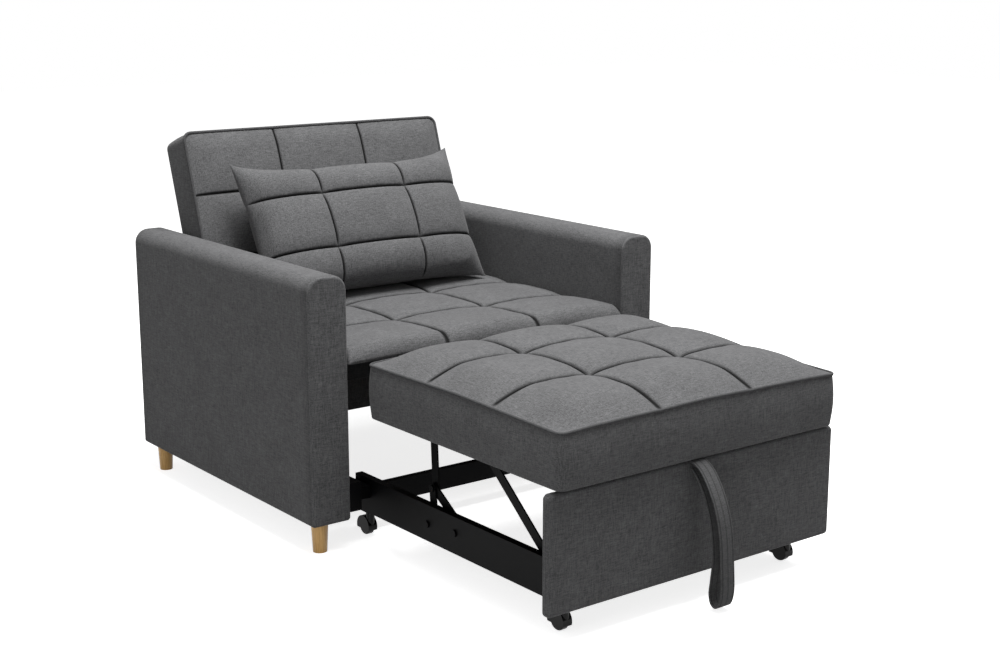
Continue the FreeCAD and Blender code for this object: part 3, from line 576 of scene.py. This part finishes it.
# %% Seat cushion
sx0, sx1, sy0, sy1, sz0 = span("seat_cushion")[:5]
SEAT_UP, SEAT_DOME, SEAT_FALL, SEAT_SWELL = 20 * MM, 6 * MM, 5 * MM, 19 * MM
SEAT_SIDE, SEAT_FRONT, SEAT_REAR = 12 * MM, 34 * MM, 14 * MM
seat_rows = np.array([sy0 - 40 * MM, arm_front + 213 * MM, arm_front + 440 * MM, sy1])


def seat_top(x, y):
    """Edge height, a shallow dome from side to side, a slight fall to the rear, and tufts."""
    u = 2 * (x - sx0) / (sx1 - sx0) - 1
    v = np.clip((y - sy0) / (0.5 * (sy1 - sy0)), 0, 1)
    dome = SEAT_DOME * (1 - np.abs(u) ** 3) - SEAT_FALL * v
    puff, seam_shade = tufts(x, y, thirds(sx0, sx1), seat_rows, SEAT_SWELL, SEAM_DIP, SEAM_WIDE)
    return sz0 + SEAT_UP + dome + puff, seam_shade


xs = grid_lines(sx0, sx1, thirds(sx0, sx1)[1:3], STEP, 14 * MM)
ys = grid_lines(sy0, sy1, seat_rows[1:3], STEP, SEAT_FRONT)
seat = make_mesh("seat_cushion_cover",
                 *rolled_pad(xs, ys, seat_top, sz0, (SEAT_SIDE, SEAT_SIDE),
                             (SEAT_FRONT, SEAT_REAR)))
dress(seat, upholstery, "chair", ["seat_cushion"])

# %% [markdown]
# ## The backrest
# The backrest is one boxed form, tufted in front with shallow cells, with piping round the
# front face and a plain band and back. It is worked out lying flat, as the CAD does, and then
# stood up about its hinge.

# %% Backrest
BACK_LEAN = 17.8
BACK_DOME, BACK_SWELL, BACK_DIP, BACK_REACH = 6 * MM, 13 * MM, 4 * MM, 50 * MM
hinge = np.array(joint("backrest_recline")["pos_m"]) * (0, 1, 1)
bx0, bx1 = span("backrest_cushion")[:2]
back_low, back_high = -12 * MM, 472 * MM
back_face, back_rear = 54.3 * MM, -53.7 * MM


def back_top(x, y):
    """Flat face, a slight dome, and shallow tufts."""
    u = 2 * (x - bx0) / (bx1 - bx0) - 1
    v = 2 * (y - back_low) / (back_high - back_low) - 1
    dome = BACK_DOME * (1 - u ** 4) * (1 - v ** 4)
    rows = thirds(back_low, back_high)
    puff, seam_shade = tufts(x, y, thirds(bx0, bx1), rows, BACK_SWELL, BACK_DIP)
    rise = from_border(x, y, (bx0, bx1, back_low, back_high), BACK_REACH)
    return back_face - 1 * MM + rise * (dome + puff), seam_shade * np.clip(4 * rise, 0, 1)


xs = grid_lines(bx0 + 2 * MM, bx1 - 2 * MM, thirds(bx0, bx1)[1:3], COARSE_STEP, 20 * MM)
ys = grid_lines(back_low + 1 * MM, back_high - 2 * MM, thirds(back_low, back_high)[1:3],
                COARSE_STEP, 20 * MM)
points, faces, seam_shades, edge = boxed(xs, ys, 20 * MM, back_top, back_rear, 2 * MM)
cord, cord_faces = cord_along(points[edge], 3.9 * MM)
backrest = make_mesh("backrest_cover", leaning(points, hinge, BACK_LEAN), faces, seam_shades)
dress(backrest, upholstery, "backrest", ["backrest_cushion", "backrest_shell"])
piping = make_mesh("backrest_piping", leaning(cord, hinge, BACK_LEAN), cord_faces)
dress(piping, piping_cloth_painted_shade, "backrest")

# %% [markdown]
# ## The lumbar pillow
# A pillow is two faces sewn together at their edge, so its thickness falls to nothing there
# and its corners stay pointed while its sides pull in. Thickness is a product of two falling
# curves, (1 - u^2.6) and (1 - v^2.6), to the power 0.55, and the seams cut arches into it.

# %% Lumbar pillow
PILLOW_LEAN, PILLOW_WIDE, PILLOW_TALL, PILLOW_HALF = 29.0, 654 * MM, 374 * MM, 78 * MM
PILLOW_MIDDLE, PILLOW_SWELL, REAR_FULLER = 8 * MM, 26 * MM, 1.2
PILLOW_DIP, PILLOW_SEAM = 5 * MM, 2.4 * MM
DRAW_SIDE, DRAW_TOP, DRAW_FOOT = 16 * MM, 34 * MM, 18 * MM
COLUMN_SEAM, ROW_SEAM = 0.19 * PILLOW_WIDE, 0.3 * PILLOW_TALL
pillow_foot = np.array([PILLOW_MIDDLE, arm_front + 476 * MM, 465 * MM])


def pillow_face(x, y, side):
    """Half the thickness at (x, y) on the face on that side, with its painted seam shade. The
    rear is fuller than the front."""
    u = 2 * x / PILLOW_WIDE
    v = 2 * y / PILLOW_TALL - 1
    body = ((1 - np.abs(u) ** 2.6) * (1 - np.abs(v) ** 2.6)).clip(0, 1) ** 0.55
    x_edges = np.array([-PILLOW_WIDE / 2, -COLUMN_SEAM, COLUMN_SEAM, PILLOW_WIDE / 2])
    y_edges = np.array([0, ROW_SEAM, PILLOW_TALL - ROW_SEAM, PILLOW_TALL])
    puff, seam_shade = tufts(x, y, x_edges, y_edges, PILLOW_SWELL, PILLOW_DIP, PILLOW_SEAM)
    fade = np.clip(body * 2.5, 0, 1)
    fuller = 1.0 if side > 0 else REAR_FULLER
    return side * fuller * (body * (PILLOW_HALF - PILLOW_SWELL) + fade * puff), seam_shade * fade


xs = grid_lines(-PILLOW_WIDE / 2, PILLOW_WIDE / 2, [-COLUMN_SEAM, COLUMN_SEAM], STEP,
                14 * MM)
ys = grid_lines(0, PILLOW_TALL, [ROW_SEAM, PILLOW_TALL - ROW_SEAM], STEP, 14 * MM)
x, y = np.meshgrid(xs, ys)
u, v = 2 * x / PILLOW_WIDE, 2 * y / PILLOW_TALL - 1
draw = np.where(v > 0, DRAW_TOP, DRAW_FOOT)
drawn_x = x - np.sign(u) * DRAW_SIDE * (1 - v ** 2) * np.abs(u) ** 3
drawn_y = y - np.sign(v) * draw * (1 - u ** 4) * np.abs(v) ** 2.5
index = np.arange(x.size).reshape(x.shape)
sheets = []
for side in (1, -1):
    height, seam_shade = pillow_face(x, y, side)
    sheets.append((np.stack([drawn_x, drawn_y, height], -1).reshape(-1, 3), seam_shade.ravel()))
points = np.concatenate([sheet for sheet, _ in sheets])
seam_shades = np.concatenate([seam_shade for _, seam_shade in sheets])
faces = np.concatenate([quads(index), quads(second_sheet(index))[:, ::-1]])
points, faces, seam_shades = trimmed(points, faces, seam_shades)
pillow = make_mesh("lumbar_pillow_cover", leaning(points, pillow_foot, PILLOW_LEAN), faces,
                   seam_shades)
dress(pillow, upholstery, "backrest", ["lumbar_pillow"])

# %% [markdown]
# ## Arms
# An arm is a board frame under foam, wrapped in one sheet of cloth, with its front closed by a
# sewn-in panel. Its cross-section is a rectangle with two rounded top corners. That outline is
# carried along the arm, and shrinks over a quarter circle at both ends, so the ends are soft.


# %% Rounded bars
def outline(half_wide, low, high, top_radius, low_radius, per_corner=9, straight=10):
    """An anticlockwise outline (across, up) with rounded corners, starting low on the left:
    corners are quarter circles and sides are even steps."""
    corners = [(half_wide, low, low_radius, -90), (half_wide, high, top_radius, 0),
               (-half_wide, high, top_radius, 90), (-half_wide, low, low_radius, 180)]
    parts = []
    for across, up, radius, start in corners:
        angle = np.radians(start + np.linspace(0, 90, per_corner))
        cx = across - np.sign(across) * radius
        cz = up - radius if up == high else up + radius
        parts.append(np.stack([cx + radius * np.cos(angle), cz + radius * np.sin(angle)], 1))
    loop = []
    for part, following in zip(parts, parts[1:] + parts[:1]):
        loop.append(part)
        f = np.linspace(0, 1, straight + 1)[1:-1, None]
        loop.append(part[-1] * (1 - f) + following[0] * f)
    return np.concatenate(loop)


def soft_bar(name, loop, start, end, nose, middle, steps=30):
    """Carries an outline along Y. Near each end it moves inwards along its own normals by
    nose * (1 - sin a) while Y advances by nose * (1 - cos a). A last ring a little further in
    keeps the flat end flat, and one face closes it."""
    quarter = np.linspace(0, np.pi / 2, 7)
    inset = np.concatenate([[nose * 1.12], nose * (1 - np.sin(quarter))])
    ease = np.concatenate([[0], nose * (1 - np.cos(quarter))])
    deep = np.concatenate([start + ease, np.linspace(start + nose, end - nose, steps)[1:-1],
                           (end - ease)[::-1]])
    inset = np.concatenate([inset, np.zeros(steps - 2), inset[::-1]])
    rows = loop[None] - outward(loop)[None] * inset[:, None, None]
    points = np.stack([rows[..., 0] + middle, np.repeat(deep[:, None], len(loop), 1),
                       rows[..., 1]], -1)
    index = np.arange(points.shape[0] * points.shape[1]).reshape(points.shape[:2])
    seam = np.zeros(index.shape)
    # The rings where each end panel is sewn in get the seam attribute: painted shade in that seam.
    seam[[7, -8]] = 0.3
    return closed_ends(make_mesh(name, points.reshape(-1, 3), rings(index), seam.ravel()))


def closed_ends(piece):
    """Closes each open end with one face and turns all the faces outwards."""
    shape = bmesh.new()
    shape.from_mesh(piece.data)
    bmesh.ops.holes_fill(shape, edges=[e for e in shape.edges if e.is_boundary], sides=0)
    bmesh.ops.recalc_face_normals(shape, faces=shape.faces)
    shape.to_mesh(piece.data)
    shape.free()
    piece.data.shade_smooth()
    return piece


# %% Arm covers
ARM_ROUND, ARM_LOW_ROUND, ARM_NOSE = 34 * MM, 8 * MM, 6 * MM
for name in ("left", "right"):
    ax0, ax1, ay0, ay1, az0, az1 = span(f"arm_cover_{name}")
    loop = outline((ax1 - ax0) / 2, az0, az1, ARM_ROUND, ARM_LOW_ROUND)
    arm = soft_bar(f"arm_{name}_cover", loop, ay0, ay1, ARM_NOSE, (ax0 + ax1) / 2)
    dress(arm, upholstery, "chair", [f"arm_cover_{name}"])

# %% [markdown]
# ## Upholstered boards
# The front panel of the rolling base and the low rear panel are boards wrapped in the same
# cloth over thin foam, so their edges are rounded by a few millimetres.

# %% Front and rear panels
PANEL_ROUND, PANEL_LOW_ROUND = 12 * MM, 10 * MM
for node, body, radius in (("front_panel", "carriage", 8), ("rear_panel", "chair", 6)):
    px0, px1, py0, py1, pz0, pz1 = span(node)
    loop = outline((px1 - px0) / 2, pz0, pz1, PANEL_ROUND, PANEL_LOW_ROUND, straight=16)
    board = soft_bar(f"{node}_cover", loop, py0, py1, radius * MM, (px0 + px1) / 2, steps=6)
    dress(board, upholstery, body, [node])

# %% [markdown]
# ## The pull strap
# The strap is a strip of the same cloth folded double and stitched near both edges. It is stiff
# enough to jut out from the panel's top edge before it hangs down. It turns just above the
# floor and climbs back behind itself, and it drifts a little to the left on its way up. The
# path is a smooth curve through a few points, (forward, up) in millimetres, and the section
# across it is a flat band with rounded edges.


# %% Smooth paths and bands
def smooth_path(stations, count):
    """A Catmull-Rom curve: between stations b and c it is the cubic whose slopes at its ends
    are half of c - a and half of d - b."""
    p = np.asarray(stations, float)
    p = np.concatenate([[2 * p[0] - p[1]], p, [2 * p[-1] - p[-2]]])
    t = np.linspace(0, len(p) - 3 - 1e-9, count)
    i = t.astype(int)
    u = (t - i)[:, None]
    a, b, c, d = p[i], p[i + 1], p[i + 2], p[i + 3]
    return 0.5 * (2 * b + (c - a) * u + (2 * a - 5 * b + 4 * c - d) * u ** 2
                  + (3 * b - a - 3 * c + d) * u ** 3)


def band(path, wide, thick, stitch_in):
    """A closed flat band along a path that lies in a plane across X: the section is a
    rectangle with rounded edges, carried along with its flat side across the path."""
    along = np.gradient(path, axis=0)
    along /= np.linalg.norm(along, axis=1, keepdims=True)
    across = np.array([1.0, 0, 0])
    normal = np.cross(across, along)
    half = wide / 2
    loop = outline(half, -thick / 2, thick / 2, 0.45 * thick, 0.45 * thick, 4, 14)
    # The stitch lines get the seam attribute, painted shade where the stitching sinks in, and a line down the
    # middle of each face gets half of it.
    lie = np.abs(np.abs(loop[:, 0]) - (half - stitch_in))
    seam_shade = np.clip(1 - lie / (1.5 * MM), 0, 1)
    centre = np.clip(1 - np.abs(loop[:, 0]) / (1.2 * MM), 0, 1) * 0.5
    points = path[:, None] + loop[None, :, :1] * across + loop[None, :, 1:] * normal[:, None]
    index = np.arange(points.shape[0] * points.shape[1]).reshape(points.shape[:2])
    seam_shade = np.broadcast_to(np.maximum(seam_shade, centre), index.shape)
    return points.reshape(-1, 3), rings(index), seam_shade.ravel()


# %% Pull strap
panel_front = span("front_panel")[2]
strap_left, strap_right = span("pull_strap")[:2]
strap_wide = strap_right - strap_left
STRAP_THICK, STITCH_IN = 3.6 * MM, 4.5 * MM
stations = [(14, 307.8), (4, 307.8), (-14, 304), (-34, 290), (-55, 258), (-72, 215), (-81, 165),
            (-82, 105), (-81, 48), (-75, 20), (-64, 10), (-52, 16), (-47, 36), (-52, 66),
            (-59, 112), (-57, 175), (-44, 232), (-24, 272), (-8, 290), (-3, 290)]
STRAP_LOW, STRAP_HIGH, STRAP_DRIFT = 40, 308, 20 * MM
path = np.array([((strap_left + strap_right) / 2
                  - STRAP_DRIFT * max(0, (up - STRAP_LOW) / (STRAP_HIGH - STRAP_LOW)),
                  panel_front + forward * MM, up * MM) for forward, up in stations])
strap = make_mesh("pull_strap_band",
                  *band(smooth_path(path, 110), strap_wide, STRAP_THICK, STITCH_IN))
dress(closed_ends(strap), strap_cloth, "carriage", ["pull_strap"])

# %% [markdown]
# ## Floor, light and camera
# The floor is one pale sheet that the camera sees as white. A wide overhead softbox lights the
# top faces most, a weaker one fills from the left, and an even sky keeps the shadows open.


# %% Stage
def stage_material():
    """White to the camera and to reflections, and pale grey to the light that bounces."""
    finish, tree, shader, _ = material("pale_floor")
    light = add(tree, "ShaderNodeLightPath")
    mirrored = add(tree, "ShaderNodeMath", {"operation": "MAXIMUM"},
                   i0=light.outputs["Is Camera Ray"], i1=light.outputs["Is Glossy Ray"])
    seen = add(tree, "ShaderNodeMath", {"operation": "MAXIMUM"}, i0=mirrored.outputs[0],
               i1=light.outputs["Is Transmission Ray"])
    tone = add(tree, "ShaderNodeMix", {"data_type": "RGBA"}, i0=seen.outputs[0],
               i6=linear("#8c8c8c"), i7=linear("#f0f0f0"))
    tree.links.new(tone.outputs[2], shader.inputs["Base Color"])
    shader.inputs["Roughness"].default_value = 0.9
    glow = add(tree, "ShaderNodeMath", {"operation": "MULTIPLY"}, i0=seen.outputs[0], i1=0.8)
    shader.inputs["Emission Color"].default_value = (1, 1, 1, 1)
    tree.links.new(glow.outputs[0], shader.inputs["Emission Strength"])
    return finish


half = 14.0
points = np.array([(-half, -half, 0), (half, -half, 0), (half, half, 0), (-half, half, 0)])
floor = make_mesh("floor", points, np.array([(0, 1, 2, 3)]))
floor.data.materials.append(stage_material())

world = bpy.data.worlds.new("even_sky")
bpy.context.scene.world = world
world.use_nodes = True
tree = world.node_tree
sky = tree.nodes["Background"]
rays = add(tree, "ShaderNodeLightPath")
strength = add(tree, "ShaderNodeMapRange", Value=rays.outputs["Is Camera Ray"], To_Min=0.26,
               To_Max=1.0)
sky.inputs["Color"].default_value = (1, 1, 1, 1)
tree.links.new(strength.outputs[0], sky.inputs["Strength"])


def softbox(name, place, aim, size, power):
    """A square area lamp at `place` that points at `aim`."""
    lamp = bpy.data.lights.new(name, "AREA")
    lamp.size, lamp.energy = size, power
    thing = bpy.data.objects.new(name, lamp)
    bpy.context.scene.collection.objects.link(thing)
    thing.location = place
    thing.rotation_euler = (Vector(aim) - Vector(place)).to_track_quat("-Z", "Y").to_euler()
    return thing


softbox("overhead_softbox", (0.25, -0.55, 4.8), (0, -0.1, 0.4), 2.4, 315)
softbox("left_fill", (-3.0, -1.6, 1.6), (0, 0, 0.4), 1.8, 12)

# %% [markdown]
# ## Camera
# The camera stands to the front left and looks down on the arms, as in the photograph.

# %% Camera
AZIMUTH, PITCH = radians(-37.47), radians(12.67)
FOCAL_PX, WIDE_PX = 1601.81, 1000
eye = bpy.data.cameras.new("camera")
eye.sensor_width = 36.0
eye.lens = FOCAL_PX / WIDE_PX * eye.sensor_width
eye.shift_x, eye.shift_y = 0.0002, -0.002
eye.clip_end = 60
camera = bpy.data.objects.new("camera", eye)
bpy.context.scene.collection.objects.link(camera)
camera.location = (-2.19263, arm_front - 2.88475, 1.25827)
camera.rotation_euler = (radians(90) - PITCH, 0, AZIMUTH)
bpy.context.scene.camera = camera
bpy.context.scene.view_settings.view_transform = "Standard"
